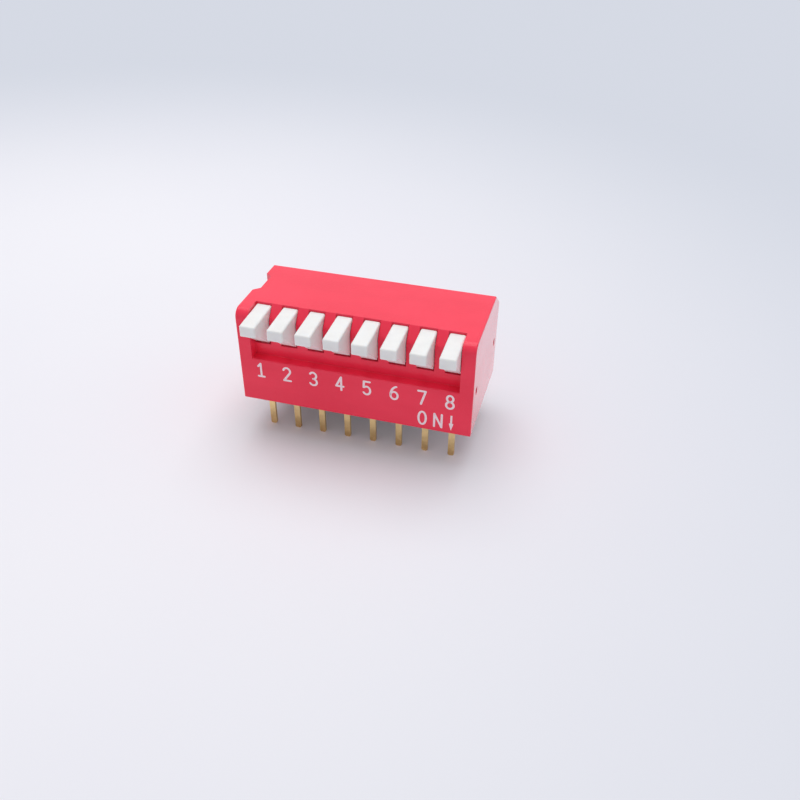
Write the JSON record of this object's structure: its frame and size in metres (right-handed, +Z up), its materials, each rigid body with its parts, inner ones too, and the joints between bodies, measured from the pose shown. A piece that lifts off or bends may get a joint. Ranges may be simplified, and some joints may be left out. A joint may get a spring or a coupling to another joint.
{
  "type": "piano-key dip switch",
  "caption": "Through-hole piano-key DIP switch: a moulded shell with rocking side keys that stand out of a front window, over two rows of straight flat pins.",
  "frame": {"origin": "centre of the pin grid, on the seating plane under the body", "axes": "+X along the row of keys from position 1, -Y the way the keys stand out, +Z up from the circuit board"},
  "size_m": [0.0218, 0.013, 0.0133],
  "materials": {
    "housing_plastic": "satin red moulded thermoplastic with pale pad-printed numbers",
    "base_plastic": "matt black moulded thermoplastic",
    "key_plastic": "satin white moulded thermoplastic",
    "terminal_metal": "gold-plated bright metal strip",
    "contact_metal": "gold-plated spring metal"
  },
  "bodies": {
    "body": {"housing": "housing_plastic", "base": "base_plastic", "terminal_front_1": "terminal_metal", "terminal_front_2": "terminal_metal", "terminal_front_3": "terminal_metal", "terminal_front_4": "terminal_metal", "terminal_front_5": "terminal_metal", "terminal_front_6": "terminal_metal", "terminal_front_7": "terminal_metal", "terminal_front_8": "terminal_metal", "terminal_rear_1": "terminal_metal", "terminal_rear_2": "terminal_metal", "terminal_rear_3": "terminal_metal", "terminal_rear_4": "terminal_metal", "terminal_rear_5": "terminal_metal", "terminal_rear_6": "terminal_metal", "terminal_rear_7": "terminal_metal", "terminal_rear_8": "terminal_metal"},
    "key_1": {"key_1": "key_plastic", "contact_spring_1": "contact_metal"},
    "key_2": {"key_2": "key_plastic", "contact_spring_2": "contact_metal"},
    "key_3": {"key_3": "key_plastic", "contact_spring_3": "contact_metal"},
    "key_4": {"key_4": "key_plastic", "contact_spring_4": "contact_metal"},
    "key_5": {"key_5": "key_plastic", "contact_spring_5": "contact_metal"},
    "key_6": {"key_6": "key_plastic", "contact_spring_6": "contact_metal"},
    "key_7": {"key_7": "key_plastic", "contact_spring_7": "contact_metal"},
    "key_8": {"key_8": "key_plastic", "contact_spring_8": "contact_metal"}
  },
  "joints": [
    {"name": "key_1_rock", "type": "hinge", "parent": "body", "child": "key_1", "pos_m": [-0.00889, -0.0029, 0.0059], "axis": [1, 0, 0], "range_deg": [0, 14]},
    {"name": "key_2_rock", "type": "hinge", "parent": "body", "child": "key_2", "pos_m": [-0.00635, -0.0029, 0.0059], "axis": [1, 0, 0], "range_deg": [0, 14]},
    {"name": "key_3_rock", "type": "hinge", "parent": "body", "child": "key_3", "pos_m": [-0.00381, -0.0029, 0.0059], "axis": [1, 0, 0], "range_deg": [0, 14]},
    {"name": "key_4_rock", "type": "hinge", "parent": "body", "child": "key_4", "pos_m": [-0.00127, -0.0029, 0.0059], "axis": [1, 0, 0], "range_deg": [0, 14]},
    {"name": "key_5_rock", "type": "hinge", "parent": "body", "child": "key_5", "pos_m": [0.00127, -0.0029, 0.0059], "axis": [1, 0, 0], "range_deg": [0, 14]},
    {"name": "key_6_rock", "type": "hinge", "parent": "body", "child": "key_6", "pos_m": [0.00381, -0.0029, 0.0059], "axis": [1, 0, 0], "range_deg": [0, 14]},
    {"name": "key_7_rock", "type": "hinge", "parent": "body", "child": "key_7", "pos_m": [0.00635, -0.0029, 0.0059], "axis": [1, 0, 0], "range_deg": [0, 14]},
    {"name": "key_8_rock", "type": "hinge", "parent": "body", "child": "key_8", "pos_m": [0.00889, -0.0029, 0.0059], "axis": [1, 0, 0], "range_deg": [0, 14]}
  ]
}
